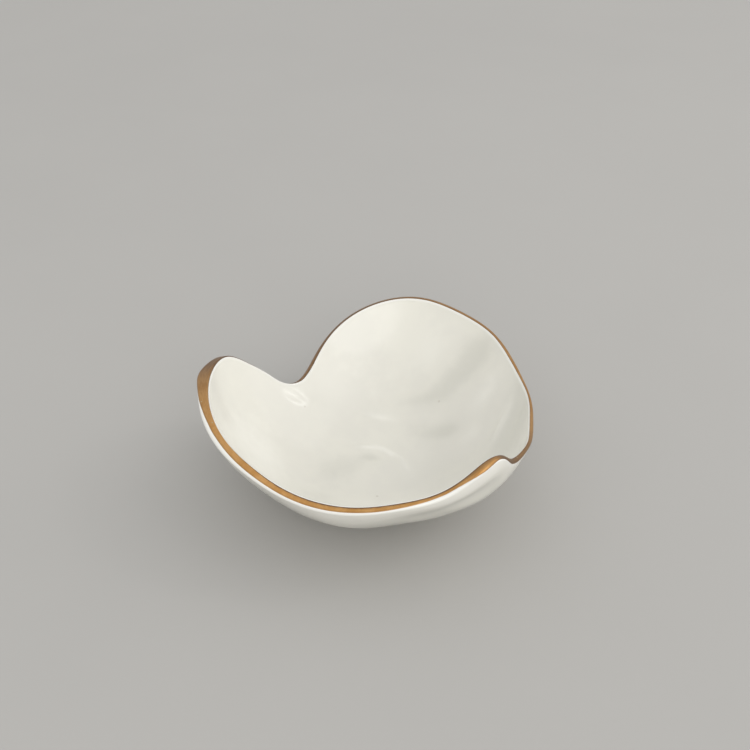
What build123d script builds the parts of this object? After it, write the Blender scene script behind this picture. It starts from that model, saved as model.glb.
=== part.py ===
from build123d import *

import os
from math import cos, radians, sin

# A ring dish: one slab of clay, cut as a heart, formed into a round bowl, glazed, and gilded
# along its cut edge.
# The dish stands on the plane z = 0, with the origin in the middle of its foot. The heart's tip
# points along -Y, its two lobes along +Y, and +Z is up.
# A turn is an angle round the dish from the tip, positive towards +X. A tilt is an angle at the
# bowl's centre, measured up from straight down.

# Driving sizes, in millimetres
bowl_radius = 56.0
flat_radius = 11.0
wall = 2.4
wall_drift = 0.9
glaze = 0.3
gold = 0.3

# The bare foot
foot_radius = 14.0

# The beak swells out of the bowl at the heart's tip
beak_shift = 16.0
beak_swell = 1.8

# How far the cuts reach past the slab
overrun = 10.0

# Angles, in degrees
flat_slope = 25.5
drift_turn = 223.0
beak_turn = 2.0
beak_tilt = 58.0

# The cut edge, walked round from the tip: turn and tilt. The cleft is at about half a turn.
rim_walk = [
    (1, 73),
    (9, 70.5),
    (24, 66),
    (42, 64.5),
    (60, 65),
    (80, 69),
    (98, 71),
    (114, 72),
    (130, 69),
    (146, 62),
    (160, 52.5),
    (169, 47),
    (176, 45.5),
    (182, 47),
    (188, 53.5),
    (195, 62),
    (203, 69.5),
    (216, 73),
    (232, 73),
    (252, 71.5),
    (268, 70),
    (284, 66),
    (306, 65),
    (322, 68),
    (333, 70),
    (342, 75.5),
    (350, 80),
    (354, 79),
]

# The cut edge is drawn in this many stretches
rim_arcs = 4

# The bowl's outside is flat, then a tighter arc, then the round arc that the mould gave it
flat_arc = bowl_radius - flat_radius / sin(radians(flat_slope))
centre_height = flat_arc + (bowl_radius - flat_arc) * cos(radians(flat_slope))
beak_radius = bowl_radius + beak_swell - beak_shift

# The cuts start inside the slab and end outside the bowl's brim, also where they slope most
lowest_tilt = min(tilt for turn, tilt in rim_walk)
inner_reach = bowl_radius - wall - overrun
outer_reach = (bowl_radius + beak_swell + overrun) / sin(radians(lowest_tilt))


def aim(turn, tilt, reach):
    """The point at a turn, a tilt and a reach from the bowl's centre."""
    level = reach * sin(radians(tilt))
    angle = radians(turn - 90)
    return level * cos(angle), level * sin(angle), centre_height - reach * cos(radians(tilt))


def bowl(depth):
    """The whole round bowl, filled to its brim, as it is at a depth below its outside."""
    drift = wall_drift * depth / wall
    side = radians(drift_turn - 90)
    across, along = -drift * cos(side), -drift * sin(side)
    beak_x, beak_y, beak_z = aim(beak_turn, beak_tilt, beak_shift)
    with BuildPart() as form:
        with BuildSketch(Plane((across, along, 0), x_dir=(1, 0, 0), z_dir=(0, -1, 0))):
            with BuildLine():
                floor = Line((0, depth), (flat_radius, depth))
                CenterArc((flat_radius, flat_arc), flat_arc - depth, -90, flat_slope)
                side_arc = CenterArc((0, centre_height), bowl_radius - depth, flat_slope - 90, 90 - flat_slope)
                Polyline(side_arc @ 1, (0, centre_height), floor @ 0)
            make_face()
        revolve(axis=Axis((across, along, 0), (0, 0, 1)))
        with Locations((beak_x + across, beak_y + along, beak_z)):
            Sphere(beak_radius - depth)
        split(bisect_by=Plane.XY.offset(centre_height), keep=Keep.BOTTOM)
    return form.part


def rim_arc(first, last, reach, lift):
    """A stretch of the cut edge's line, thrown out from the bowl's centre, then lifted."""
    stations = []
    for place in range(first - 1, last + 2):
        turn, tilt = rim_walk[place % len(rim_walk)]
        x, y, z = aim(turn, tilt, reach)
        stations.append(Vector(x, y, z + lift))
    start = (stations[2] - stations[0]).normalized()
    end = (stations[-1] - stations[-3]).normalized()
    with BuildLine() as line:
        Spline(*stations[1:-1], tangents=(start, end), tangent_scalars=(1, 1))
    return line.edge()


def above_rim(lift):
    """Everything above the cut edge. The cut is square to the slab, and starts at a lift."""
    breaks = [round(len(rim_walk) * count / rim_arcs) for count in range(rim_arcs + 1)]
    ribbons = []
    for first, last in zip(breaks, breaks[1:]):
        inner = rim_arc(first, last, inner_reach, lift)
        outer = rim_arc(first, last, outer_reach, lift)
        ribbons.append(Face.make_surface_from_curves(inner, outer))
    with BuildPart() as block:
        extrude(ribbons, amount=outer_reach, dir=(0, 0, 1))
    return block.part


def foot_disc():
    """The flat disc on which the dish stands, up to the top of the clay."""
    with BuildPart() as disc:
        with BuildSketch():
            Circle(foot_radius)
        extrude(amount=wall - glaze)
    return disc.part


# The bowl at each depth where one layer ends and the next begins, and the two cuts
outside = bowl(0)
under_glaze = bowl(glaze)
clay_inside = bowl(wall - glaze)
inside = bowl(wall)
waste = above_rim(0)
gold_and_waste = above_rim(-gold)
foot = foot_disc()

# The clay body: the slab between the two glaze coats, with its bare foot
with BuildPart() as clay_body:
    add(under_glaze)
    add(foot)
    add(clay_inside, mode=Mode.SUBTRACT)
    add(gold_and_waste, mode=Mode.SUBTRACT)
clay_body.part.label = "clay_body"

# The glaze coat inside the bowl
with BuildPart() as inside_glaze:
    add(clay_inside)
    add(inside, mode=Mode.SUBTRACT)
    add(gold_and_waste, mode=Mode.SUBTRACT)
inside_glaze.part.label = "inside_glaze"

# The glaze coat outside, wiped away round the foot
with BuildPart() as outside_glaze:
    add(outside)
    add(under_glaze, mode=Mode.SUBTRACT)
    add(foot, mode=Mode.SUBTRACT)
    add(gold_and_waste, mode=Mode.SUBTRACT)
outside_glaze.part.label = "outside_glaze"

# The gold band on the cut edge
with BuildPart() as gold_rim:
    add(outside)
    add(inside, mode=Mode.SUBTRACT)
    add(waste, mode=Mode.SUBTRACT)
    add(gold_and_waste, mode=Mode.INTERSECT)
gold_rim.part.label = "gold_rim"

os.makedirs("parts", exist_ok=True)
for piece in (clay_body, inside_glaze, outside_glaze, gold_rim):
    export_step(piece.part, f"parts/{piece.part.label}.step")
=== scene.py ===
"""A heart-shaped ring dish, dressed: a clay slab, two glaze coats and a gold lustre edge."""

import logging
import math
from abc import ABC, abstractmethod
from dataclasses import dataclass, field
from enum import Enum

import bmesh
import bpy
import numpy as np
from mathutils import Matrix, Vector


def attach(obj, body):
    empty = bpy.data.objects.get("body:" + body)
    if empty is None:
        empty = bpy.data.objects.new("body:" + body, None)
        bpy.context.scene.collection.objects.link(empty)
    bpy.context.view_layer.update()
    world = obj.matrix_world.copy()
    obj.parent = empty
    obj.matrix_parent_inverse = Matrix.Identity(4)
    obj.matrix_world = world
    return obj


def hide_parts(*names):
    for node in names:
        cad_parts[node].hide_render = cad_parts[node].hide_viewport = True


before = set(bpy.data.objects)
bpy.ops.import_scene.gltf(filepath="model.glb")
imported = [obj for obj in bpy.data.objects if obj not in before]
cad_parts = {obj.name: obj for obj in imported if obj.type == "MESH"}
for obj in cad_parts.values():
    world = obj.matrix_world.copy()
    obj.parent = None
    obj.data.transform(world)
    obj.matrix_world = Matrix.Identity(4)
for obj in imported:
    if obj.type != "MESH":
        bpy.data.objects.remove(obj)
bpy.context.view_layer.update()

MM = 0.001
TINY = 1e-9
QUARTER_TURN = 90.0
FULL_TURN = 360.0
log = logging.getLogger("ring_dish")

Table = tuple[tuple[float, float], ...]
Range = tuple[float, float]
Triple = tuple[float, float, float]
Tone = tuple[float, float, float, float]
Array = np.ndarray
Material = bpy.types.Material
Node = bpy.types.Node
NodeTree = bpy.types.NodeTree
Socket = bpy.types.NodeSocket

# The cut edge, walked round from the tip: turn and tilt, in degrees
RIM_WALK: Table = (
    (1, 73), (9, 70.5), (24, 66), (42, 64.5), (60, 65), (80, 69), (98, 71),
    (114, 72), (130, 69), (146, 62), (160, 52.5), (169, 47), (176, 45.5), (182, 47),
    (188, 53.5), (195, 62), (203, 69.5), (216, 73), (232, 73), (252, 71.5), (268, 70),
    (284, 66), (306, 65), (322, 68), (333, 70), (342, 75.5), (350, 80), (354, 79),
)

# How much of the inner corner the gold covers: turn and share. Above 1 it runs on inside.
GOLD_START_SHARES: Table = (
    (0, 0.5), (12, 0.9), (100, 0.9), (125, 0.7), (150, 0.8), (163, 1.4), (173, 1.4), (182, 0.1),
    (206, 0.9), (216, 1.4), (230, 2.1), (250, 1.8), (265, 1.1), (280, 0.4), (300, 0.3), (335, 0.3),
    (350, 0.5),
)

# How much of the cut and the outer corner the gold covers: turn and share. Above 1 it runs on
# down the outside.
GOLD_COVER_SHARES: Table = (
    (1, 1.1), (8, 1.2), (18, 1.1), (30, 1), (40, 1), (114, 1), (180, 1), (224, 1),
    (229, 0.88), (234, 0.7), (241, 0.52), (249, 0.46), (257, 0.46), (264, 0.52), (272, 0.56),
    (306, 0.56), (322, 0.55), (330, 0.42), (336, 0.4), (341, 0.5), (345, 0.8), (349, 1),
    (351, 0.8), (354, 0.65), (357, 0.85),
)

# How much painted shade darkens the gold round the dish, where it reflects less light: turn and
# share
GOLD_TURN_SHADE_SHARES: Table = (
    (0, 1), (14, 0.8), (26, 0.5), (60, 0.45), (100, 0.6), (125, 0.85), (150, 0.9), (180, 0.85),
    (213, 1), (220, 0.7), (230, 0.4), (238, 0.26), (247, 0.06), (285, 0), (338, 0),
    (346, 0.1), (350, 0.35), (354, 1),
)

# How much painted shade darkens the gold over the inner part of its width: turn and share
GOLD_INNER_SHADE_SHARES: Table = (
    (0, 0.4), (180, 0.3), (220, 0.1), (250, 0.1), (280, 0.15), (325, 0.4), (334, 0.95), (341, 1),
    (347, 0.8), (350, 1), (354, 0.4),
)

# How far the margins' brownish colour and painted shadow are held off, in millimetres: turn and
# distance
GOLD_CLEAN_GAPS: Table = (
    (0, 0), (14, 0.28), (118, 0.28), (140, 0), (350, 0),
)

# The finger marks that show, each with the values of a FingerMark in its order
FINGER_MARKS: tuple[tuple[float, ...], ...] = (
    (218, 75, 5, 1.5, 1, 0, 1, 0), (346, 77, 3.4, 0.5, 1.2, 0, 1, 0),
    (12, 70, 6, -0.45, 1, 0, 1, 0), (2, 80, 6, -0.2, 1, 0, 1, 0),
    (301, 48, 7, 0.5, 1.3, 0, 1, 0.3), (323, 48, 5.5, -0.5, 1, 0, 1, 0.3),
    (272, 58, 8, -0.4, 1, 0, 1, 0.3), (334, 56, 4, -0.7, 1.8, -20, 1, 0.1),
    (339, 70, 3.2, 0.35, 2.2, 20, 1, 0.1), (345.5, 64, 2.8, -0.6, 2.6, 28, 1, 0),
    (352, 60, 3.2, 0.3, 2, 28, 1, 0), (83.5, 59.5, 4.2, 0.48, 1.7, 107, 0.3, 1),
    (89.5, 45.5, 3.2, 0.42, 2.2, 108, 0.2, 1), (105, 33.8, 1.8, 0.24, 4, 151, 0, 1),
    (68, 50, 3.6, -0.28, 2.2, 90, 0.3, 1), (104, 54, 5, -0.12, 1.8, 100, 0.3, 1),
    (69, 31.5, 2.4, 0.32, 1.6, 120, 0, 1), (75, 27, 2, 0.18, 2.6, 132, 0, 1),
    (90, 24, 2.2, 0.12, 2, 150, 0, 1), (52, 37, 4, -0.26, 1.6, 70, 0.2, 1),
    (46, 61.5, 5, 0.55, 2, 26, 0.2, 1), (40, 54.5, 2.4, 0.36, 2.8, 48, 0, 1),
    (46, 50, 1.2, -0.34, 4.4, 48, 0, 1), (28, 50, 5, 0.3, 1.2, 48, 0.2, 1),
    (30, 31, 8, 0.16, 1.5, 60, 0, 1), (126, 24.6, 0.9, -0.24, 4.2, 9, 0, 1),
    (142, 10, 0.9, -0.34, 3.5, 12, 0, 1), (92, 9.6, 1, -0.36, 4, -5, 0, 1),
    (40, 12.7, 1.2, -0.28, 2.6, -24, 0, 1), (137, 5, 1.5, 0.34, 1.8, 20, 0, 1),
    (222, 10, 4.6, 0.34, 1.6, 74, 0, 1), (318, 20.5, 2.2, -0.2, 4, 0, 0, 1),
    (182, 41, 1.2, -0.34, 3, 60, 0, 1), (176, 37, 2, 0.22, 2, 40, 0, 1),
    (150, 42, 12, -0.24, 1, 0, 1, 1), (235, 45, 12, -0.3, 1, 0, 1, 1),
    (280, 30, 7, 0.3, 1.6, 40, 0.3, 1),
)


class Reading(Enum):
    """How a table round the dish is read between its places."""

    STRAIGHT = "straight"
    SMOOTH = "smooth"


def ease(share: Array) -> Array:
    """A share from 0 to 1 that starts and ends softly."""
    return share**2 * (3 - 2 * share)


def around(table: Table, turns: Array, reading: Reading) -> Array:
    """Read a table of values round the dish.

    Args:
        table: Turns in degrees, in rising order, each with its value.
        turns: The turns wanted, in degrees.
        reading: Straight or smooth between the table's places.

    Returns:
        The values at those turns.
    """
    places, values = np.array(table, float).T
    wrapped = np.mod(turns - places[0], FULL_TURN) + places[0]
    ends = np.append(places, places[0] + FULL_TURN)
    closed = np.append(values, values[0])
    if reading is Reading.STRAIGHT:
        return np.interp(wrapped, ends, closed)
    spans = np.diff(ends)
    rises = np.diff(closed) / spans
    before = np.roll(spans, 1)
    slopes = (spans * np.roll(rises, 1) + before * rises) / (spans + before)
    slopes = np.append(slopes, slopes[0])
    low = np.clip(np.searchsorted(ends, wrapped, side="right") - 1, 0, len(spans) - 1)
    share = (wrapped - ends[low]) / spans[low]
    start = closed[low] + share * spans[low] * slopes[low]
    end = closed[low + 1] - (1 - share) * spans[low] * slopes[low + 1]
    lift = ease(share)
    return (1 - lift) * start + lift * end


def direction(turn: Array | float, tilt: Array | float) -> Array:
    """Unit directions from the bowl's centre.

    Args:
        turn: Turns in degrees.
        tilt: Tilts in degrees.

    Returns:
        One row of three for each direction.
    """
    angle = np.radians(np.asarray(turn, float) - QUARTER_TURN)
    lean = np.radians(np.asarray(tilt, float))
    level = np.sin(lean)
    return np.stack([level * np.cos(angle), level * np.sin(angle), -np.cos(lean)], axis=-1)


def put(name: str, data: bpy.types.ID) -> bpy.types.Object:
    """Put a new object in the scene.

    Args:
        name: Its name.
        data: Its mesh, light or camera.

    Returns:
        The object.
    """
    made = bpy.data.objects.new(name, data)
    bpy.context.scene.collection.objects.link(made)
    return made


@dataclass(frozen=True)
class FingerMark:
    """A soft dent or swelling that a finger left in the slab.

    Its place, spread and lean are in degrees, and its push is in millimetres, outwards. It is
    longer along its lean by its stretch. Its last two values are the shares of it that show
    outside and inside.
    """

    turn: float
    tilt: float
    spread: float
    push: float
    stretch: float
    lean: float
    outside: float
    inside: float

    def at(self, way: Array, inward: Array) -> Array:
        """The push in each direction.

        Args:
            way: Unit directions from the bowl's centre.
            inward: How far through the wall each point is, 0 outside and 1 inside.

        Returns:
            Pushes in metres.
        """
        away = np.arccos(np.clip(way @ direction(self.turn, self.tilt), -1.0, 1.0))
        degrees = np.degrees(away) / np.maximum(np.sin(away), TINY)
        aside = way @ direction(self.turn + QUARTER_TURN, QUARTER_TURN) * degrees
        rise = way @ direction(self.turn, self.tilt + QUARTER_TURN) * degrees
        lean = math.radians(self.lean)
        along = (aside * math.cos(lean) + rise * math.sin(lean)) / self.stretch
        across = rise * math.cos(lean) - aside * math.sin(lean)
        fade = self.outside * (1.0 - inward) + self.inside * inward
        return self.push * MM * fade * np.exp(-(along**2 + across**2) / (2 * self.spread**2))


@dataclass
class Slab:
    """The formed slab: where each layer of the wall lies in each direction from the bowl's centre.

    Lengths are in metres and angles in degrees. The flat bottom leads through a tighter arc into
    the round side, and a second round form, the beak, swells out of it at the heart's tip.
    """

    bowl_radius: float = 56.0 * MM
    flat_radius: float = 11.0 * MM
    flat_slope: float = 25.5
    wall: float = 2.4 * MM
    # The inside is shifted, which makes the wall thicker towards one side
    wall_drift: float = 0.9 * MM
    drift_turn: float = 223.0
    drift_rounds: int = 4
    # The beak's round form, set off from the bowl's centre and swollen beyond the bowl
    beak_turn: float = 2.0
    beak_tilt: float = 58.0
    beak_shift: float = 16.0 * MM
    beak_swell: float = 1.8 * MM
    # How softly the beak blends into it
    crease_softness: float = 1.2 * MM
    rim_samples: int = 2880
    # Outside, marks fade in from this tilt and over this span, so that the foot stays flat
    marks_from: float = 22.0
    marks_span: float = 18.0
    marks: tuple[FingerMark, ...] = tuple(FingerMark(*mark) for mark in FINGER_MARKS)
    # Faint marks, drawn from a fixed seed: their number, the seed and the ranges of their values
    pinches: int = 42
    pinch_seed: int = 11
    pinch_tilts: Range = (18, 66)
    pinch_spreads: Range = (3.0, 6.0)
    pinch_pushes: Range = (0.08, 0.22)
    pinch_stretches: Range = (1.0, 2.6)
    pinch_outsides: Range = (0.2, 0.8)
    pinch_insides: Range = (0.6, 1.0)

    def __post_init__(self) -> None:
        """Work out the tighter arc's radius, the bowl's centre and all the finger marks."""
        slope = math.radians(self.flat_slope)
        self.flat_arc = self.bowl_radius - self.flat_radius / math.sin(slope)
        above = (self.bowl_radius - self.flat_arc) * math.cos(slope)
        self.centre = np.array([0.0, 0.0, self.flat_arc + above])
        draw = np.random.default_rng(self.pinch_seed)
        self.all_marks = self.marks + tuple(
            FingerMark(
                draw.uniform(0, FULL_TURN), draw.uniform(*self.pinch_tilts),
                draw.uniform(*self.pinch_spreads),
                draw.choice((-1, 1)) * draw.uniform(*self.pinch_pushes),
                draw.uniform(*self.pinch_stretches), draw.uniform(0, FULL_TURN / 2),
                draw.uniform(*self.pinch_outsides), draw.uniform(*self.pinch_insides),
            )
            for _ in range(self.pinches)
        )

    def rim_tilt(self, turns: Array) -> Array:
        """The tilt of the cut edge at each turn.

        Args:
            turns: Turns in degrees.

        Returns:
            Tilts in degrees, on one closed smooth line through the stations of the walk.
        """
        walk = np.array(RIM_WALK, float)
        stations = direction(walk[:, 0], walk[:, 1])
        after = np.roll(stations, -1, axis=0)
        steps = np.linalg.norm(after - stations, axis=1, keepdims=True)
        ahead = (after - stations) / steps
        last, behind = np.roll(steps, 1, axis=0), np.roll(ahead, 1, axis=0)
        matrix = 2 * np.diagflat(last + steps)
        matrix += np.roll(np.diagflat(steps), -1, axis=1) + np.roll(np.diagflat(last), 1, axis=1)
        slopes = np.linalg.solve(matrix, 3 * (steps * behind + last * ahead))
        share = np.linspace(0, 1, self.rim_samples // len(walk), endpoint=False)[:, None, None]
        line = (
            (1 + 2 * share) * (1 - share) ** 2 * stations
            + share * (1 - share) ** 2 * steps * slopes
            + ease(share) * after
            - share**2 * (1 - share) * steps * np.roll(slopes, -1, axis=0)
        )
        x, y, z = line.reshape(-1, 3).T
        tilt = np.degrees(np.arctan2(np.hypot(x, y), -z))
        turn = np.mod(np.degrees(np.arctan2(y, x)) + QUARTER_TURN, FULL_TURN)
        order = np.argsort(turn)
        return np.interp(np.mod(turns, FULL_TURN), turn[order], tilt[order], period=FULL_TURN)

    def plain_reach(self, way: Array, depth: Array) -> Array:
        """How far a layer is from the centre of its own depth, before any finger mark.

        Args:
            way: Unit directions from that centre.
            depth: Depths below the slab's outside, in metres.

        Returns:
            Distances in metres.
        """
        level = np.hypot(way[..., 0], way[..., 1])
        drop = -way[..., 2]
        height = self.centre[2]
        flat = (height - depth) / np.maximum(drop, TINY)
        lead = level * self.flat_radius + drop * (height - self.flat_arc)
        off = self.flat_radius**2 + (height - self.flat_arc) ** 2 - (self.flat_arc - depth) ** 2
        low = lead + np.sqrt(np.maximum(lead**2 - off, 0.0))
        side = self.bowl_radius - depth
        steep = np.degrees(np.arctan2(level, drop)) > self.flat_slope
        reach = np.where(steep, side, np.where(flat * level > self.flat_radius, low, flat))
        beak = self.beak_shift * direction(self.beak_turn, self.beak_tilt)
        radius = self.bowl_radius + self.beak_swell - self.beak_shift - depth
        lead = way @ beak
        swollen = lead + np.sqrt(np.maximum(lead**2 - self.beak_shift**2 + radius**2, 0.0))
        apart, soft = swollen - reach, self.crease_softness
        blend = np.maximum(soft - np.abs(apart), 0.0) ** 2 / (4 * soft)
        return reach + np.maximum(apart, 0.0) + blend

    def point(self, turn: Array, tilt: Array, depth: Array) -> Array:
        """Points of the slab.

        Args:
            turn: Turns in degrees.
            tilt: Tilts in degrees.
            depth: Depths below the slab's outside, in metres.

        Returns:
            Points in metres, one row of three for each direction.
        """
        way = direction(turn, tilt)
        slide = -self.wall_drift / self.wall * direction(self.drift_turn, QUARTER_TURN)
        shift = depth[..., None] * slide
        reach = self.plain_reach(way, depth)
        for _ in range(self.drift_rounds):
            own = way * reach[..., None] - shift
            own_length = np.linalg.norm(own, axis=-1)
            reach = reach * self.plain_reach(own / own_length[..., None], depth) / own_length
        return self.centre + way * (reach + self.push(way, depth, self.all_marks))[..., None]

    def push(self, way: Array, depth: Array, marks: tuple[FingerMark, ...]) -> Array:
        """How far finger marks push a layer outwards, which is nothing on the flat foot.

        Args:
            way: Unit directions from the bowl's centre.
            depth: Depths below the slab's outside, in metres.
            marks: The marks that count.

        Returns:
            Pushes in metres.
        """
        inward = depth / self.wall
        push = sum(mark.at(way, inward) for mark in marks)
        tilt = np.degrees(np.arccos(-way[..., 2]))
        rise = ease(np.clip((tilt - self.marks_from) / self.marks_span, 0.0, 1.0))
        return push * (inward + (1.0 - inward) * rise)


@dataclass
class Edge:
    """The slab's cut edge in section: two rounded corners with a flat cut between them.

    A way along the section starts where the inner corner ends and the cut begins, grows over the
    cut and the outer corner and down the outside, and is below zero on the inner corner and inside.
    """

    slab: Slab
    columns: int = 480
    inner_corner: float = 0.42 * MM
    outer_corner: float = 0.8 * MM

    def __post_init__(self) -> None:
        """Work out what every row of every mesh needs, once."""
        self.turns = np.arange(self.columns) * FULL_TURN / self.columns
        self.tilt = self.slab.rim_tilt(self.turns)
        none = np.zeros_like(self.turns)
        outer = self.slab.point(self.turns, self.tilt, none)
        inner = self.slab.point(self.turns, self.tilt, none + self.slab.wall)
        self.thick = np.linalg.norm(outer - inner, axis=-1)
        rise = np.roll(self.tilt, -1) - np.roll(self.tilt, 1)
        slant = rise / (2 * FULL_TURN / self.columns)
        lean = np.arctan(slant / np.sin(np.radians(self.tilt)))
        self.per_metre = np.degrees(1 / (self.slab.bowl_radius * np.cos(lean)))
        # The lengths of the two corners, and of the flat cut between them
        self.inner_bend = self.inner_corner * math.pi / 2
        self.outer_bend = self.outer_corner * math.pi / 2
        self.cut = self.thick - self.inner_corner - self.outer_corner
        # The ways at which the gold starts and ends
        cover = around(GOLD_COVER_SHARES, self.turns, Reading.SMOOTH)
        self.gold_start = -around(GOLD_START_SHARES, self.turns, Reading.STRAIGHT) * self.inner_bend
        self.gold_end = cover * (self.cut + self.outer_bend)

    def row(self, way: Array, under: float | Array) -> tuple[Array, Array]:
        """One row of a mesh near the edge.

        Args:
            way: The way along the section in each column, in metres.
            under: How far under the skin the row lies, in metres.

        Returns:
            The row's tilts in degrees and depths in metres.
        """
        inner, outer, cut = self.inner_corner, self.outer_corner, self.cut
        bend_in = np.clip(math.pi / 2 + way / inner, 0.0, math.pi / 2)
        bend_out = np.clip((way - cut) / outer, 0.0, math.pi / 2)
        inner_left, outer_left = np.maximum(inner - under, 0.0), np.maximum(outer - under, 0.0)
        past_in = np.maximum(-way - self.inner_bend, 0.0)
        past_out = np.maximum(way - cut - self.outer_bend, 0.0)
        off_in = inner - inner_left * np.sin(bend_in) + past_in
        off_out = outer - outer_left * np.cos(bend_out) + past_out
        deep_in = self.thick - inner + inner_left * np.cos(bend_in)
        deep_out = outer - outer_left * np.sin(bend_out)
        deep_cut = self.thick - inner - way
        off = np.where(way < 0, off_in, np.where(way > cut, off_out, under))
        deep = np.where(way < 0, deep_in, np.where(way > cut, deep_out, deep_cut))
        return self.tilt - off * self.per_metre, deep * self.slab.wall / self.thick


@dataclass
class Piece:
    """A closed piece made of rings, from pole to pole or from the last ring back to the first.

    A ring has a row for each of its points: its place, and what the finishes read there.
    """

    name: str
    node: str
    slot: str
    turns: Array
    rings: list[Array] = field(default_factory=list)
    poles: bool = False

    # What the finishes read at each point: its place across the piece, from 0 to 1, how far it is
    # from the piece's edge, in millimetres, its glaze pooling with painted light and shade, on the
    # scale of millimetres deep in finger dents, and how much painted shade darkens its gold, 0 to 1
    LABELS = ("across", "margin", "pool_and_shade", "gold_shade")

    def add(self, points: Array, across: float = 0.0, margin: float | Array = 0.0,
            pool_and_shade: float | Array = 0.0, gold_shade: float | Array = 0.0) -> None:
        """Add a ring of points, with the value of each label there."""
        values = (np.broadcast_to(value, len(points)) for value in (across, margin, pool_and_shade, gold_shade))
        self.rings.append(np.column_stack([points, *values]))

    def faces(self) -> list[tuple[int, ...]]:
        """The faces between the rings, and round the poles where there are any.

        Returns:
            The numbers of each face's points. The poles' points come after all the rings'.
        """
        columns, count = len(self.turns), len(self.rings)
        sides = [(column, (column + 1) % columns) for column in range(columns)]
        made = []
        for low in range(count - 1 if self.poles else count):
            here, above = low * columns, (low + 1) % count * columns
            made += [(here + one, here + two, above + two, above + one) for one, two in sides]
        if self.poles:
            for here, pole in ((0, count * columns), ((count - 1) * columns, count * columns + 1)):
                made += [(here + one, here + two, pole) for one, two in sides]
        return made

    def build(self, material: Material) -> None:
        """Make the mesh, dress it and tie it to the frame.

        Args:
            material: The finish that the whole piece wears.
        """
        ends = [self.rings[0], self.rings[-1]] if self.poles else []
        rows = np.vstack(self.rings + [ring.mean(axis=0) for ring in ends])
        points, shades = np.hsplit(rows, [-len(self.LABELS)])
        shades = dict(zip(self.LABELS, shades.T))
        mesh = bpy.data.meshes.new(self.name)
        mesh.from_pydata(points.tolist(), [], self.faces())
        for label, values in shades.items():
            mesh.attributes.new(label, "FLOAT", "POINT").data.foreach_set("value", values)
        angle = np.radians(self.turns)
        level = np.tile(np.column_stack([np.cos(angle), np.sin(angle)]), (len(self.rings), 1))
        level = np.vstack([level, np.zeros((len(ends), 2))])
        way = np.column_stack([level, shades["across"]])
        mesh.attributes.new("way", "FLOAT_VECTOR", "POINT").data.foreach_set("vector", way.ravel())
        tidy = bmesh.new()
        tidy.from_mesh(mesh)
        bmesh.ops.recalc_face_normals(tidy, faces=tidy.faces)
        tidy.to_mesh(mesh)
        tidy.free()
        mesh.shade_smooth()
        mesh.materials.append(material)
        piece = put(self.name, mesh)
        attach(piece, "root")
        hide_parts(self.node)
        log.info("%s: %d points, %d faces", self.name, len(mesh.vertices), len(mesh.polygons))


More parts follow.
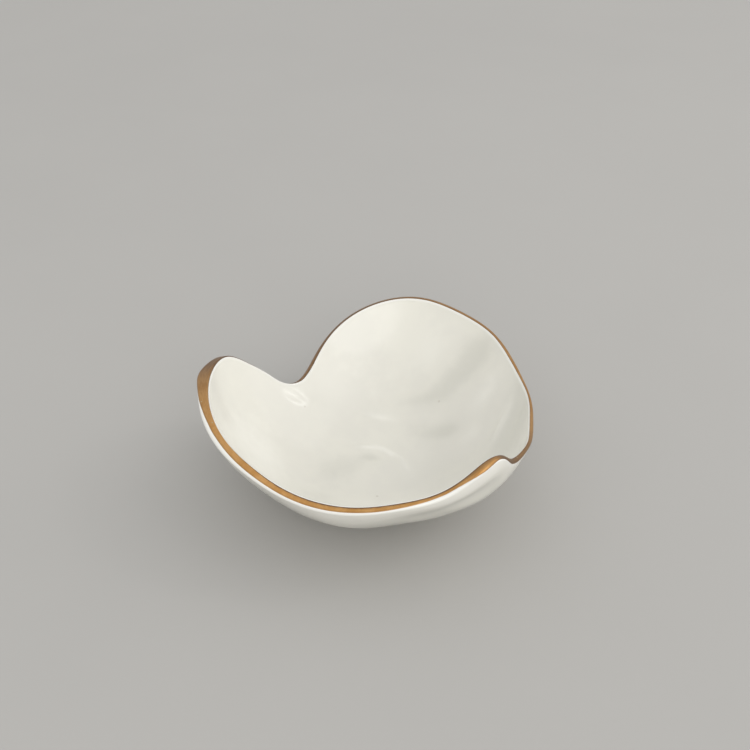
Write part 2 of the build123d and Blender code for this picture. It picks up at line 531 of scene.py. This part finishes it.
@dataclass
class Dish:
    """The whole dish: it lays out the rings of each layer from the slab and its edge.

    Lengths are in metres and angles in degrees, but pooling and painted shade are in millimetres.
    """

    clay: Material
    glaze: Material
    gold: Material
    slab: Slab = field(default_factory=Slab)
    coat: float = 0.3 * MM
    # A coat's margin sinks over the width of a bead, by a share of the coat
    bead: float = 0.25 * MM
    gold_sink: float = 0.35
    glaze_sink: float = 0.5
    # The share of the gold's width that its inner shade reaches over
    shaded_share: float = 0.62
    # The lip of glaze that gathered beside the gold
    lip: float = 0.12 * MM
    lip_from_edge: float = 0.65 * MM
    lip_narrowness: float = 1.8
    # The stretch beside the edge, where the rows crowd towards the gold
    near_edge: float = 3.0 * MM
    inside_crowding: float = 1.6
    outside_crowding: float = 1.4
    # Outside, painted light just below the edge, and painted shade lower down
    top_light: float = 0.42
    low_shade: float = 0.6
    light_to_shade_length: float = 12.0 * MM
    # The bare foot, with shares of its radius and of its bevel, and the glaze's round end
    foot_radius: float = 14.0 * MM
    foot_bevel: float = 0.12 * MM
    foot_rings: Table = ((0.1, 0), (0.45, 0), (0.8, 0), (0.96, 0), (0.99, 0.3), (1, 1))
    clay_gap: float = 0.1
    glaze_gap: float = 0.6
    glaze_bead: float = 0.45
    # The last ring before a pole
    pole_tilt: float = 1.0
    # How many rows each stretch has
    gold_rows: int = 19
    gold_back_step: int = 3
    inside_rows: int = 16
    inside_back_rows: int = 5
    outside_rows: int = 20
    outside_back_rows: int = 6
    bead_rows: int = 5
    clay_rows: int = 14
    wall_rows: int = 72
    hidden_rows: int = 20

    def __post_init__(self) -> None:
        """Measure the edge once for all the layers."""
        self.edge = Edge(self.slab)
        self.outer_last = self.edge.cut + self.edge.outer_bend + self.near_edge
        self.foot_tilt = math.degrees(math.atan2(self.foot_radius, self.slab.centre[2]))

    def at_way(self, way: Array, under: float | Array) -> Array:
        """The points of a row near the edge, at a way along the section and under its skin."""
        tilt, depth = self.edge.row(way, under)
        return self.slab.point(self.edge.turns, tilt, depth)

    def at_tilt(self, tilt: Array, depth: float) -> Array:
        """The points of a row on the wall, at a depth below the outside."""
        return self.slab.point(self.edge.turns, tilt, np.full(len(tilt), depth))

    def below_edge(self, tilt: Array) -> Array:
        """How far below the cut edge a row of the wall lies."""
        return (self.edge.tilt - tilt) / self.edge.per_metre

    def down(self, way: Array, under: float, end: float, rows: int) -> list[Array]:
        """Tilts that lead from a row near the edge down to one tilt, the first row left out."""
        start = self.edge.row(way, under)[0]
        return [start + (end - start) * share for share in np.linspace(0, 1, rows + 1)[1:]]

    def sink(self, gap: float | Array, share: float) -> float | Array:
        """How far a coat sinks at a distance from its margin, by at most a share of it."""
        return self.coat * share * (1 - np.clip(gap / self.bead, 0, 1)) ** 2

    def dent_depth_at(self, tilt: Array, depth: float) -> Array:
        """How deep a row of the wall lies in finger dents.

        Args:
            tilt: The row's tilts.
            depth: Its depth below the outside, which is nothing on the outside itself.

        Returns:
            Depths in millimetres, below zero on swellings.
        """
        way = direction(self.edge.turns, tilt)
        push = self.slab.push(way, np.full(len(tilt), depth), self.slab.marks) / MM
        return push if depth > 0 else -push

    def outside_light_and_shade_at(self, gap: Array) -> Array:
        """The painted light, below zero, or shade, above zero, in millimetres, at a gap below the
        edge.
        """
        low = np.clip(gap / self.light_to_shade_length, 0.0, 1.0)
        return (self.top_light + self.low_shade) * ease(low) - self.top_light

    def gold_rim(self) -> None:
        """The gold band on the cut edge, with soft margins."""
        piece = Piece("gold_band", "gold_rim", "gold_lustre", self.edge.turns)
        tables = (GOLD_TURN_SHADE_SHARES, GOLD_INNER_SHADE_SHARES, GOLD_CLEAN_GAPS)
        turn_shade, shade, clean = (around(it, self.edge.turns, Reading.STRAIGHT) for it in tables)
        start, end = self.edge.gold_start, self.edge.gold_end
        shares = np.linspace(0, 1, self.gold_rows)
        for share in shares:
            way = start + (end - start) * share
            gap = np.minimum(way - start, end - way)
            # Painted shade: darker round the back and right, and over the band's inner part
            band_shade = np.maximum(turn_shade, shade * max(1 - (share / self.shaded_share) ** 2, 0.0))
            skin = self.at_way(way, self.sink(gap, self.gold_sink))
            piece.add(skin, share, gap / MM + clean, gold_shade=band_shade)
        for share in shares[::-self.gold_back_step]:
            piece.add(self.at_way(start + (end - start) * share, self.coat), share)
        piece.build(self.gold)

    def inside_glaze(self) -> None:
        """The glaze coat inside, from the middle of the floor to the lip of the cut edge."""
        piece = Piece("glaze_inside", "inside_glaze", "white_glaze", self.edge.turns, poles=True)
        wall, last = self.slab.wall, self.edge.gold_start
        first = last - self.near_edge
        # Dent depth sets pooling and painted shade in the glaze, and painted highlight on swellings
        for tilt in self.down(first, 0.0, self.pole_tilt, self.wall_rows)[::-1]:
            gap = self.below_edge(tilt) / MM
            piece.add(self.at_tilt(tilt, wall), margin=gap, pool_and_shade=self.dent_depth_at(tilt, wall))
        for share in np.linspace(1, 0, self.inside_rows) ** self.inside_crowding:
            gap = self.near_edge * share
            apart = (gap / self.lip_from_edge - 1) * self.lip_narrowness
            sunk = self.sink(gap, self.glaze_sink) - self.lip * math.exp(-(apart**2))
            pool_and_shade = self.dent_depth_at(self.edge.row(last - gap, 0.0)[0], wall)
            piece.add(self.at_way(last - gap, sunk), margin=gap / MM, pool_and_shade=pool_and_shade)
        for share in np.linspace(0, 1, self.inside_back_rows):
            piece.add(self.at_way(last - self.near_edge * share, self.coat))
        for tilt in self.down(first, self.coat, self.pole_tilt, self.hidden_rows):
            piece.add(self.at_tilt(tilt, wall - self.coat))
        piece.build(self.glaze)

    def outside_glaze(self) -> None:
        """The glaze coat outside, from the gold's outer margin down to the wiped foot."""
        piece = Piece("glaze_outside", "outside_glaze", "white_glaze", self.edge.turns)
        first, last = self.edge.gold_end, self.outer_last
        foot = self.foot_tilt + self.glaze_gap
        for share in np.linspace(0, 1, self.outside_rows) ** self.outside_crowding:
            way = first + (last - first) * share
            gap = way - first
            # Painted shade in dents, painted light near the edge and painted shade lower down
            pool_and_shade = self.dent_depth_at(self.edge.row(way, 0.0)[0], 0.0)
            pool_and_shade = pool_and_shade + self.outside_light_and_shade_at(np.maximum(way - self.edge.cut, 0.0))
            skin = self.at_way(way, self.sink(gap, self.glaze_sink))
            piece.add(skin, margin=gap / MM, pool_and_shade=pool_and_shade)
        for tilt in self.down(last, 0.0, foot, self.wall_rows):
            gap = self.below_edge(tilt)
            # Painted shade in dents, painted light near the edge and painted shade lower down
            pool_and_shade = self.dent_depth_at(tilt, 0.0) + self.outside_light_and_shade_at(gap)
            piece.add(self.at_tilt(tilt, 0.0), margin=gap / MM, pool_and_shade=pool_and_shade)
        for angle in np.linspace(0, math.pi / 2, self.bead_rows):
            tilt = np.full(self.edge.columns, foot - self.glaze_bead * math.sin(angle))
            piece.add(self.at_tilt(tilt, self.coat * (1 - math.cos(angle))))
        for tilt in self.down(last, self.coat, foot, self.hidden_rows)[::-1]:
            piece.add(self.at_tilt(tilt, self.coat))
        for share in np.linspace(1, 0, self.outside_back_rows):
            piece.add(self.at_way(first + (last - first) * share, self.coat))
        piece.build(self.glaze)

    def clay_body(self) -> None:
        """The clay slab under the coats, with its flat bare foot."""
        piece = Piece("clay_slab", "clay_body", "clay", self.edge.turns, poles=True)
        level = np.full(self.edge.columns, QUARTER_TURN)
        circle = direction(self.edge.turns, level) * (1, 1, 0)
        for share, lift in self.foot_rings:
            piece.add(self.foot_radius * share * circle + (0, 0, lift * self.foot_bevel))
        foot = self.foot_tilt + self.clay_gap
        for tilt in self.down(self.outer_last, self.coat, foot, self.hidden_rows)[::-1]:
            piece.add(self.at_tilt(tilt, self.coat))
        for share in np.linspace(1, 0, self.clay_rows):
            way = (self.outer_last + self.near_edge) * share - self.near_edge
            piece.add(self.at_way(way, self.coat))
        for tilt in self.down(way, self.coat, self.pole_tilt, self.hidden_rows):
            piece.add(self.at_tilt(tilt, self.slab.wall - self.coat))
        piece.build(self.clay)


@dataclass(frozen=True)
class Ramp:
    """A smooth ramp: a stretch of values, and the stretch that it is spread over."""

    low: float
    high: float
    to_low: float = 0.0
    to_high: float = 1.0


class Graph:
    """A node tree with short calls to add nodes and to link them."""

    # The sockets of a Mix node that mixes colours
    MIX_INPUTS = (0, 6, 7)
    MIX_COLOUR = 2

    def __init__(self, tree: NodeTree) -> None:
        """Start from an empty tree."""
        self.tree = tree
        tree.nodes.clear()

    def node(self, kind: str, **settings: object) -> Node:
        """Add a node.

        Args:
            kind: The node's type.
            settings: Its properties, by name.

        Returns:
            The new node.
        """
        made = self.tree.nodes.new(kind)
        for name, value in settings.items():
            setattr(made, name, value)
        return made

    def plug(self, socket: Socket, value: object) -> None:
        """Link or set one input.

        Args:
            socket: The input.
            value: A socket to link from, or a plain value.
        """
        if isinstance(value, Socket):
            self.tree.links.new(value, socket)
        else:
            socket.default_value = value

    def feed(self, node: Node, **inputs: object) -> Node:
        """Set or link inputs by name, with underscores for spaces.

        Args:
            node: The node whose inputs are meant.
            inputs: Socket names with a socket to link from, or a plain value.

        Returns:
            The same node.
        """
        for name, value in inputs.items():
            self.plug(node.inputs[name.replace("_", " ")], value)
        return node

    def fill(self, node: Node, *values: object) -> Node:
        """Set or link a node's first inputs, in their order.

        Args:
            node: The node whose inputs are meant.
            values: Sockets to link from, or plain values.

        Returns:
            The same node.
        """
        for socket, value in zip(node.inputs, values):
            self.plug(socket, value)
        return node

    def noise(self, vector: Socket, scale: object, detail: float) -> Socket:
        """A noise value over the surface, at a scale and with so much detail."""
        made = self.node("ShaderNodeTexNoise")
        return self.feed(made, Vector=vector, Scale=scale, Detail=detail).outputs["Fac"]

    def spread(self, value: Socket, ramp: Ramp) -> Socket:
        """Spread a stretch of values over another, clamped and smooth at its ends."""
        made = self.node("ShaderNodeMapRange", interpolation_type="SMOOTHSTEP")
        return self.fill(made, value, ramp.low, ramp.high, ramp.to_low, ramp.to_high).outputs[0]

    def math(self, operation: str, first: object, second: object) -> Socket:
        """A sum, product or the like of two values or sockets, by the node's own name for it."""
        made = self.node("ShaderNodeMath", operation=operation)
        return self.fill(made, first, second).outputs[0]

    def mix(self, share: object, first: object, second: object) -> Socket:
        """A colour between two colours.

        Args:
            share: How much of the second colour there is, from 0 to 1.
            first: A colour or a socket.
            second: A colour or a socket.

        Returns:
            The mixed colour.
        """
        made = self.node("ShaderNodeMix", data_type="RGBA")
        for place, value in zip(self.MIX_INPUTS, (share, first, second)):
            self.plug(made.inputs[place], value)
        return made.outputs[self.MIX_COLOUR]


class SocketKind(Enum):
    """The kinds of socket that a shared group has."""

    VECTOR = "NodeSocketVector"
    COLOUR = "NodeSocketColor"
    VALUE = "NodeSocketFloat"


class SharedEffects:
    """The node groups that more than one finish uses."""

    # How much finer the mottle's fine clouds are, and the broad clouds' share
    FINER = 7.0
    BROAD_SHARE = 0.75
    MOTTLE_RAMP = Ramp(0.36, 0.64)
    # Which cells hold a speck, and how soft its edge is
    SPECK_CHOICE = Ramp(0.82, 1.0)
    SPECK_EDGE = Ramp(0.0, 0.04)

    def __init__(self) -> None:
        """Build each group once."""
        self.mottle = self.mottle_group()
        self.waver = self.waver_group()
        self.speckle = self.speckle_group()

    def start(self, name: str, inputs: dict[str, float | Tone],
              outputs: dict[str, SocketKind]) -> tuple[Graph, Node, Node]:
        """Make an empty group that takes a place on the surface.

        Args:
            name: The group's name.
            inputs: The first values of its other inputs, by name.
            outputs: The kinds of its outputs, by name.

        Returns:
            The graph, its input node and its output node.
        """
        tree = bpy.data.node_groups.new(name, "ShaderNodeTree")
        add = tree.interface.new_socket
        add("Vector", in_out="INPUT", socket_type=SocketKind.VECTOR.value)
        for label, value in inputs.items():
            kind = SocketKind.COLOUR if isinstance(value, tuple) else SocketKind.VALUE
            add(label, in_out="INPUT", socket_type=kind.value).default_value = value
        for label, kind in outputs.items():
            add(label, in_out="OUTPUT", socket_type=kind.value)
        graph = Graph(tree)
        return graph, graph.node("NodeGroupInput"), graph.node("NodeGroupOutput")

    def mottle_group(self) -> NodeTree:
        """Two tones that drift into each other in broad and fine clouds.

        Returns:
            The group, which puts out the colour and its mask.
        """
        inputs = {"Tone": (0.8, 0.8, 0.8, 1), "Other Tone": (0.7, 0.7, 0.7, 1), "Scale": 40.0}
        outputs = {"Color": SocketKind.COLOUR, "Mask": SocketKind.VALUE}
        graph, given, out = self.start("kiln_mottle", inputs, outputs)
        place, scale = given.outputs["Vector"], given.outputs["Scale"]
        broad = graph.noise(place, scale, detail=3.0)
        fine = graph.noise(place, graph.math("MULTIPLY", scale, self.FINER), detail=2.0)
        both = graph.math("ADD", graph.math("MULTIPLY", broad, self.BROAD_SHARE),
                          graph.math("MULTIPLY", fine, 1 - self.BROAD_SHARE))
        mask = graph.spread(both, self.MOTTLE_RAMP)
        colour = graph.mix(mask, given.outputs["Tone"], given.outputs["Other Tone"])
        graph.feed(out, Color=colour, Mask=mask)
        return graph.tree

    def waver_group(self) -> NodeTree:
        """The uneven skin of hand-formed ware: long swells, and a fine grain on top.

        Returns:
            The group, which puts out a height.
        """
        inputs = {"Swell Scale": 60.0, "Grain Scale": 900.0, "Grain": 0.1}
        graph, given, out = self.start("hand_waver", inputs, {"Height": SocketKind.VALUE})
        swell = graph.noise(given.outputs["Vector"], given.outputs["Swell Scale"], detail=1.0)
        grain = graph.noise(given.outputs["Vector"], given.outputs["Grain Scale"], detail=3.0)
        grain = graph.math("MULTIPLY", grain, given.outputs["Grain"])
        graph.feed(out, Height=graph.math("ADD", swell, grain))
        return graph.tree

    def speckle_group(self) -> NodeTree:
        """Small round specks, few or many, of uneven size.

        Returns:
            The group, which puts out the specks' mask.
        """
        inputs = {"Scale": 300.0, "Size": 0.2}
        graph, given, out = self.start("specks", inputs, {"Mask": SocketKind.VALUE})
        cells = graph.feed(graph.node("ShaderNodeTexVoronoi"), Vector=given.outputs["Vector"],
                           Scale=given.outputs["Scale"])
        pick = graph.feed(graph.node("ShaderNodeSeparateColor"), Color=cells.outputs["Color"])
        chosen = graph.spread(pick.outputs[0], self.SPECK_CHOICE)
        room = graph.math("MULTIPLY", given.outputs["Size"], chosen)
        inside = graph.math("SUBTRACT", room, cells.outputs["Distance"])
        graph.feed(out, Mask=graph.spread(inside, self.SPECK_EDGE))
        return graph.tree


@dataclass(frozen=True)
class Skin:
    """How uneven a surface is: the scales of its swells and grain, and the depth of its bump."""

    swell_scale: float
    grain_scale: float
    grain: float
    depth: float
    strength: float


@dataclass(kw_only=True)
class Finish(ABC):
    """What every finish starts from: a Principled shader, and two tones that drift in clouds.

    A finish without a skin is even.
    """

    effects: SharedEffects
    name: str
    tone: Tone
    other_tone: Tone
    mottle_scale: float
    skin: Skin | None = None

    def __post_init__(self) -> None:
        """Start the material."""
        self.material = bpy.data.materials.new(self.name)
        self.material.use_nodes = True
        self.graph = Graph(self.material.node_tree)
        out = self.graph.node("ShaderNodeOutputMaterial")
        self.shader = self.graph.node("ShaderNodeBsdfPrincipled")
        self.graph.fill(out, self.shader.outputs[0])
        self.place = self.graph.node("ShaderNodeTexCoord").outputs["Object"]
        body = self.use(self.effects.mottle, Tone=self.tone, Other_Tone=self.other_tone,
                        Scale=self.mottle_scale)
        self.body, self.clouds = body.outputs["Color"], body.outputs["Mask"]

    def attribute(self, name: str, output: str = "Fac") -> Socket:
        """A value that the mesh carries."""
        return self.graph.node("ShaderNodeAttribute", attribute_name=name).outputs[output]

    def use(self, group: NodeTree, **inputs: object) -> Node:
        """Place a shared group in the material, with its own values for the group's inputs."""
        node = self.graph.node("ShaderNodeGroup", node_tree=group)
        return self.graph.feed(node, Vector=self.place, **inputs)

    def specks(self, scale: float, size: float) -> Socket:
        """The mask of specks at a scale and of a size."""
        return self.use(self.effects.speckle, Scale=scale, Size=size).outputs["Mask"]

    @abstractmethod
    def dress(self) -> None:
        """Set the shader's colour, roughness and gloss."""

    def make(self) -> Material:
        """Dress the shader and make its surface uneven.

        Returns:
            The finished material.
        """
        self.dress()
        graph, skin = self.graph, self.skin
        if skin:
            waver = self.use(self.effects.waver, Swell_Scale=skin.swell_scale,
                             Grain_Scale=skin.grain_scale, Grain=skin.grain)
            bump = graph.feed(graph.node("ShaderNodeBump"), Height=waver.outputs["Height"],
                              Distance=skin.depth, Strength=skin.strength)
            graph.feed(self.shader, Normal=bump.outputs[0])
        return self.material


@dataclass(kw_only=True)
class GlazeFinish(Finish):
    """Glossy warm-white glaze, greyer in dents by pooling and painted shade, with painted
    highlights.
    """

    name: str = "white_glaze"
    tone: Tone = (0.81, 0.79, 0.71, 1)
    other_tone: Tone = (0.785, 0.765, 0.695, 1)
    # Painted highlight on the glaze beside the gold
    edge_highlight_tone: Tone = (0.865, 0.85, 0.80, 1)
    # Greyer in finger dents: glaze pooling and painted shade
    pool_and_shade_tone: Tone = (0.71, 0.695, 0.625, 1)
    # Painted highlight over swellings inside, and painted light just below the edge outside
    painted_light_tone: Tone = (0.89, 0.87, 0.80, 1)
    speck_tone: Tone = (0.50, 0.44, 0.36, 1)
    mottle_scale: float = 34.0
    # From millimetres off the gold, or millimetres deep in a dent, to shares of a tone
    edge_highlight_ramp: Ramp = Ramp(0.2, 1.6, 0.8, 0.0)
    drift_ramp: Ramp = Ramp(0.0, 1.0, -0.06, 0.06)
    pool_and_shade_ramp: Ramp = Ramp(0.0, 0.5)
    painted_light_ramp: Ramp = Ramp(-0.45, 0.0, 0.9, 0.0)
    speck_scale: float = 210.0
    speck_size: float = 0.12
    speck_share: float = 0.35
    rough_scale: float = 90.0
    rough_ramp: Ramp = Ramp(0.3, 0.7, 0.18, 0.25)
    ior: float = 1.52
    coat_weight: float = 0.2
    coat_roughness: float = 0.1
    skin: Skin = Skin(70.0, 1100.0, 0.012, 0.6 * MM, 0.35)

    def dress(self) -> None:
        """Lay the glaze's tones over each other, and set its gloss."""
        graph = self.graph
        drift = graph.spread(self.clouds, self.drift_ramp)
        # Pooling with painted shade in dents, painted light on swellings and by the edge, a drift
        # of tone
        shade_and_drift = graph.math("ADD", self.attribute("pool_and_shade"), drift)
        # Painted highlight beside the gold
        edge = graph.spread(self.attribute("margin"), self.edge_highlight_ramp)
        colour = graph.mix(graph.spread(shade_and_drift, self.pool_and_shade_ramp), self.body, self.pool_and_shade_tone)
        colour = graph.mix(graph.spread(shade_and_drift, self.painted_light_ramp), colour, self.painted_light_tone)
        colour = graph.mix(edge, colour, self.edge_highlight_tone)
        specks = self.specks(self.speck_scale, self.speck_size)
        faint = graph.math("MULTIPLY", specks, self.speck_share)
        cloudy = graph.noise(self.place, self.rough_scale, detail=3.0)
        graph.feed(self.shader, Base_Color=graph.mix(faint, colour, self.speck_tone),
                   Roughness=graph.spread(cloudy, self.rough_ramp), IOR=self.ior,
                   Coat_Weight=self.coat_weight, Coat_Roughness=self.coat_roughness)


@dataclass(kw_only=True)
class LustreFinish(Finish):
    """Brushed-on gold lustre: streaked along the band, brownish where it thins at its margins,
    painted shade.
    """

    name: str = "gold_lustre"
    tone: Tone = (0.77, 0.445, 0.175, 1)
    other_tone: Tone = (0.62, 0.32, 0.10, 1)
    # Brownish lustre at its thinning margins, with painted shadow along the inner edge
    margin_brown_and_shadow: Tone = (0.16, 0.095, 0.055, 1)
    # The tone of the gold's painted shade
    gold_shade_tone: Tone = (0.22, 0.135, 0.078, 1)
    pin_tone: Tone = (0.60, 0.50, 0.34, 1)
    mottle_scale: float = 160.0
    # The brush's streaks run round the band
    streak_stretch: Triple = (9.0, 9.0, 16.0)
    streak_scale: float = 2.0
    streak_ramp: Ramp = Ramp(0.35, 0.7, 0.0, 0.6)
    gold_shade_ramp: Ramp = Ramp(0.2, 0.8, 0.8, 1.0)
    # The margins, in millimetres, wander and are brownish where it thins, darker inside: painted
    # shadow
    ragged_scale: float = 700.0
    ragged_ramp: Ramp = Ramp(0.3, 0.7, -0.08, 0.08)
    margin_ramp: Ramp = Ramp(0.2, 0.6, 1.0, 0.0)
    inner_shadow_ramp: Ramp = Ramp(0.1, 0.7, 1.0, 0.25)
    pin_scale: float = 520.0
    pin_size: float = 0.16
    rough_ramp: Ramp = Ramp(0.3, 0.7, 0.32, 0.46)
    margin_roughness: float = 0.15
    metal_ramp: Ramp = Ramp(0.0, 1.0, 0.8, 0.55)
    skin: Skin = Skin(260.0, 2600.0, 0.15, 0.25 * MM, 0.4)

    def dress(self) -> None:
        """Streak the gold along the band, and darken it with painted shade and brownish margins."""
        graph = self.graph
        stretch = graph.feed(graph.node("ShaderNodeMapping"),
                             Vector=self.attribute("way", "Vector"), Scale=self.streak_stretch)
        streak = graph.noise(stretch.outputs[0], self.streak_scale, detail=3.0)
        tone = graph.mix(graph.spread(streak, self.streak_ramp), self.body, self.other_tone)
        # Painted shade: the gold darker where it reflects less light, broken by the streaks
        gold_shade = graph.math("MULTIPLY", self.attribute("gold_shade"), graph.spread(streak, self.gold_shade_ramp))
        tone = graph.mix(gold_shade, tone, self.gold_shade_tone)
        wander = graph.noise(self.place, self.ragged_scale, detail=2.0)
        ragged = graph.math("ADD", self.attribute("margin"), graph.spread(wander, self.ragged_ramp))
        # Painted shadow along the inner edge: the margin darker on the band's inner side
        inner = graph.spread(self.attribute("across"), self.inner_shadow_ramp)
        margin = graph.math("MULTIPLY", graph.spread(ragged, self.margin_ramp), inner)
        tone = graph.mix(margin, tone, self.margin_brown_and_shadow)
        pins = self.specks(self.pin_scale, self.pin_size)
        rough = graph.math("ADD", graph.spread(streak, self.rough_ramp),
                           graph.math("MULTIPLY", margin, self.margin_roughness))
        graph.feed(self.shader, Base_Color=graph.mix(pins, tone, self.pin_tone), Roughness=rough,
                   Metallic=graph.spread(margin, self.metal_ramp))


@dataclass(kw_only=True)
class BareClayFinish(Finish):
    """Fine pale stoneware, wiped clean: matt, grainy and lightly speckled."""

    name: str = "bare_clay"
    tone: Tone = (0.62, 0.54, 0.43, 1)
    other_tone: Tone = (0.52, 0.44, 0.34, 1)
    speck_tone: Tone = (0.22, 0.15, 0.10, 1)
    mottle_scale: float = 120.0
    speck_scale: float = 420.0
    speck_size: float = 0.32
    speck_share: float = 0.6
    rough_ramp: Ramp = Ramp(0.0, 1.0, 0.78, 0.92)
    skin: Skin = Skin(300.0, 3200.0, 0.8, 0.2 * MM, 0.6)

    def dress(self) -> None:
        """Speckle the clay, and leave it matt."""
        specks = self.specks(self.speck_scale, self.speck_size)
        shade = self.graph.math("MULTIPLY", specks, self.speck_share)
        self.graph.feed(self.shader, Base_Color=self.graph.mix(shade, self.body, self.speck_tone),
                        Roughness=self.graph.spread(self.clouds, self.rough_ramp))


@dataclass(kw_only=True)
class FloorFinish(Finish):
    """Plain pale matt floor with the faintest unevenness of tone."""

    name: str = "pale_floor"
    tone: Tone = (0.46, 0.447, 0.424, 1)
    other_tone: Tone = (0.45, 0.437, 0.415, 1)
    mottle_scale: float = 3.0
    roughness: float = 0.9

    def dress(self) -> None:
        """Leave the floor plain and matt."""
        self.graph.feed(self.shader, Base_Color=self.body, Roughness=self.roughness)


class LampPlace(Enum):
    """Where a lamp hangs, seen from the dish."""

    RIGHT = "right"
    WINDOW = "window"
    FRONT_LEFT = "front_left"
    OVERHEAD = "overhead"


@dataclass(frozen=True)
class Lamp:
    """A soft round lamp that faces the dish. Its size is in metres and its power in watts."""

    place: LampPlace
    spot: Triple
    size: float
    power: float
    tint: Triple = (1.0, 1.0, 1.0)

    def hang(self) -> None:
        """Put the lamp in the scene."""
        light = bpy.data.lights.new(self.place.value, "AREA")
        light.shape = "DISK"
        light.size = self.size
        light.energy = self.power
        light.color = self.tint
        lamp = put(self.place.value, light)
        lamp.location = self.spot
        lamp.rotation_euler = (-Vector(self.spot)).to_track_quat("-Z", "Y").to_euler()


@dataclass(frozen=True)
class Studio:
    """The pale floor, the soft lamps, the world and the camera at the photograph's angle."""

    floor_half: float = 4.0
    world_tone: Tone = (0.98, 0.99, 1.0, 1)
    world_strength: float = 0.82
    backdrop_tone: Tone = (0.62, 0.61, 0.59, 1)
    lamps: tuple[Lamp, ...] = (
        Lamp(LampPlace.RIGHT, (1.02, -0.95, 0.95), 2.4, 6.8, (1.0, 0.98, 0.94)),
        Lamp(LampPlace.WINDOW, (0.665, -0.61, 0.80), 0.22, 0.45),
        Lamp(LampPlace.FRONT_LEFT, (-0.95, -1.45, 0.45), 2.2, 15.5),
        Lamp(LampPlace.OVERHEAD, (0.2, 0.2, 2.0), 3.0, 2.0),
    )
    # The camera's place in metres, how far it looks down and round in degrees, its lens and
    # sensor in millimetres, and the nearest thing that it sees in metres
    camera_spot: Triple = (-0.17937, -0.16862, 0.22542)
    camera_down: float = 37.0
    camera_round: float = -47.0
    camera_lens: float = 48.0
    camera_sensor: float = 36.0
    camera_near: float = 0.01

    def lay_floor(self, material: Material) -> None:
        """Lay the floor that the dish stands on.

        Args:
            material: The floor's finish.
        """
        half = self.floor_half
        corners = [(-half, -half, 0), (half, -half, 0), (half, half, 0), (-half, half, 0)]
        mesh = bpy.data.meshes.new("floor")
        mesh.from_pydata(corners, [], [(0, 1, 2, 3)])
        mesh.materials.append(material)
        put("floor", mesh)

    def light(self) -> None:
        """Hang the lamps and set the world, whose backdrop shows to the eye and in gloss alike."""
        for lamp in self.lamps:
            lamp.hang()
        world = bpy.data.worlds.new("studio")
        bpy.context.scene.world = world
        world.use_nodes = True
        graph = Graph(world.node_tree)
        out = graph.node("ShaderNodeOutputWorld")
        glow, seen = graph.node("ShaderNodeBackground"), graph.node("ShaderNodeBackground")
        graph.feed(glow, Color=self.world_tone, Strength=self.world_strength)
        graph.feed(seen, Color=self.backdrop_tone, Strength=1.0)
        path = graph.node("ShaderNodeLightPath")
        sight = path.outputs["Is Camera Ray"]
        for other in ("Is Transmission Ray", "Is Glossy Ray"):
            sight = graph.math("MAXIMUM", sight, path.outputs[other])
        choice = graph.node("ShaderNodeMixShader")
        graph.fill(choice, sight, glow.outputs[0], seen.outputs[0])
        graph.fill(out, choice.outputs[0])

    def aim_camera(self) -> None:
        """Set the camera where the photograph was taken from."""
        data = bpy.data.cameras.new("photo_view")
        data.lens = self.camera_lens
        data.sensor_width = self.camera_sensor
        data.clip_start = self.camera_near
        camera = put("photo_view", data)
        camera.location = self.camera_spot
        camera.rotation_euler = (math.radians(QUARTER_TURN - self.camera_down), 0.0,
                                 math.radians(self.camera_round))
        bpy.context.scene.camera = camera


def main() -> None:
    """Build the dish, dress it, and set it in the studio."""
    logging.basicConfig(level=logging.INFO, format="%(name)s %(message)s")
    effects = SharedEffects()
    kinds = (BareClayFinish, GlazeFinish, LustreFinish)
    dish = Dish(*(kind(effects=effects).make() for kind in kinds))
    dish.clay_body()
    dish.inside_glaze()
    dish.outside_glaze()
    dish.gold_rim()
    studio = Studio()
    studio.lay_floor(FloorFinish(effects=effects).make())
    studio.light()
    studio.aim_camera()
    bpy.context.scene.view_settings.view_transform = "Standard"


if __name__ == "__main__":
    main()
